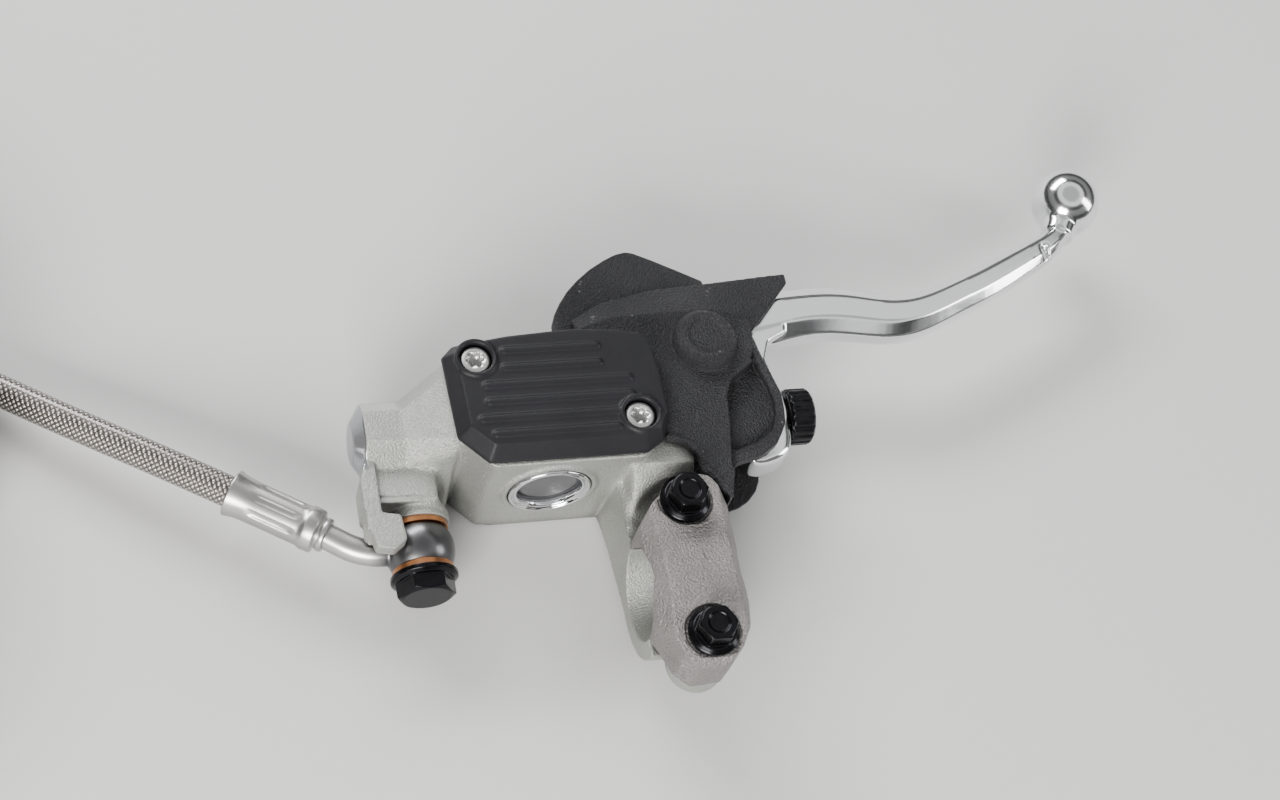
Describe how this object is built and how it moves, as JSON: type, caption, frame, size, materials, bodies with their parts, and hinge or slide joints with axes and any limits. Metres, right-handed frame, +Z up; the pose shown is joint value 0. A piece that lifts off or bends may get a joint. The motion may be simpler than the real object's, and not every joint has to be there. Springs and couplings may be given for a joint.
{
  "type": "motorcycle brake master cylinder",
  "caption": "Front brake master cylinder with lever, reach adjuster, lever guard, handlebar clamp, brake fluid reservoir and a braided hose.",
  "frame": {"origin": "centre of the handlebar clamp bore, midway along it", "axes": "+X along the handlebar towards the lever's ball end, +Y forward away from the rider, +Z up, normal to the reservoir cover"},
  "size_m": [0.3799, 0.1506, 0.0374],
  "materials": {
    "cast_body": "cast, fine blasted grain, satin",
    "cast_cap": "cast, coarser blasted grain, satin",
    "polished_lever": "polished",
    "anodised_piston": "hard anodised",
    "cover_plastic": "moulded, satin",
    "guard_plastic": "moulded, leather grain",
    "knob_black": "black anodised, satin",
    "tie_plastic": "moulded nylon",
    "rubber": "moulded",
    "sight_lens": "clear window",
    "chrome_ring": "pressed and plated",
    "zinc_steel": "zinc plated",
    "turned_steel": "turned",
    "black_steel": "black oxide, glossy",
    "dark_steel": "polished, dark",
    "stainless": "stainless, crimped",
    "hose_braid": "stainless braid under a clear coat",
    "copper": "annealed copper",
    "bush_brass": "bronze bush"
  },
  "bodies": {
    "housing": {"cylinder_body": "cast_body", "reservoir_cover": "cover_plastic", "cover_screws": "zinc_steel", "reservoir_diaphragm": "rubber", "sight_glass_seal": "rubber", "sight_glass_lens": "sight_lens", "sight_glass_ring": "chrome_ring", "clamp_cap": "cast_cap", "clamp_bolts": "black_steel", "retaining_washer": "turned_steel", "circlip": "black_steel", "dust_boot": "rubber", "return_spring": "turned_steel", "pivot_bolt": "turned_steel", "pivot_nut": "zinc_steel", "lever_guard": "guard_plastic", "banjo_washers": "copper", "banjo_bolt": "black_steel", "banjo_fitting": "dark_steel", "crimp_sleeve": "stainless", "brake_hose": "hose_braid", "hose_coil": "hose_braid", "coil_tie": "tie_plastic", "far_sleeve": "stainless", "far_banjo_fitting": "dark_steel"},
    "lever": {"lever": "polished_lever", "pivot_bush": "bush_brass", "detent_ball": "turned_steel", "detent_spring": "turned_steel"},
    "piston_set": {"piston": "anodised_piston", "primary_cup": "rubber", "secondary_cup": "rubber", "pushrod": "turned_steel"},
    "knob": {"adjuster_knob": "knob_black"},
    "screw": {"adjuster_screw": "turned_steel"}
  },
  "joints": [
    {"name": "lever_pivot", "type": "hinge", "parent": "housing", "child": "lever", "pos_m": [0.0138, 0.0584, 0], "axis": [0, 0, 1], "range_deg": [-22, 0], "stiffness_Nm_per_rad": 1, "springref_deg": 17.19},
    {"name": "piston_slide", "type": "slide", "parent": "housing", "child": "piston_set", "axis": [-1, 0, 0], "range_m": [0, 0.0062], "deforming": ["return_spring", "dust_boot"]},
    {"name": "adjuster_turn", "type": "hinge", "parent": "lever", "child": "knob", "pos_m": [0.0336, 0.0428, 0], "axis": [1, 0, 0], "range_deg": [0, 540]},
    {"name": "adjuster_travel", "type": "slide", "parent": "lever", "child": "screw", "axis": [1, 0, 0], "range_m": [0, 0.0015]}
  ],
  "couplings": [
    {"joint": "piston_slide", "follows": "lever_pivot", "m_per_rad": -0.0156},
    {"joint": "adjuster_turn", "follows": "adjuster_travel", "rad_per_m": 6283.2}
  ]
}
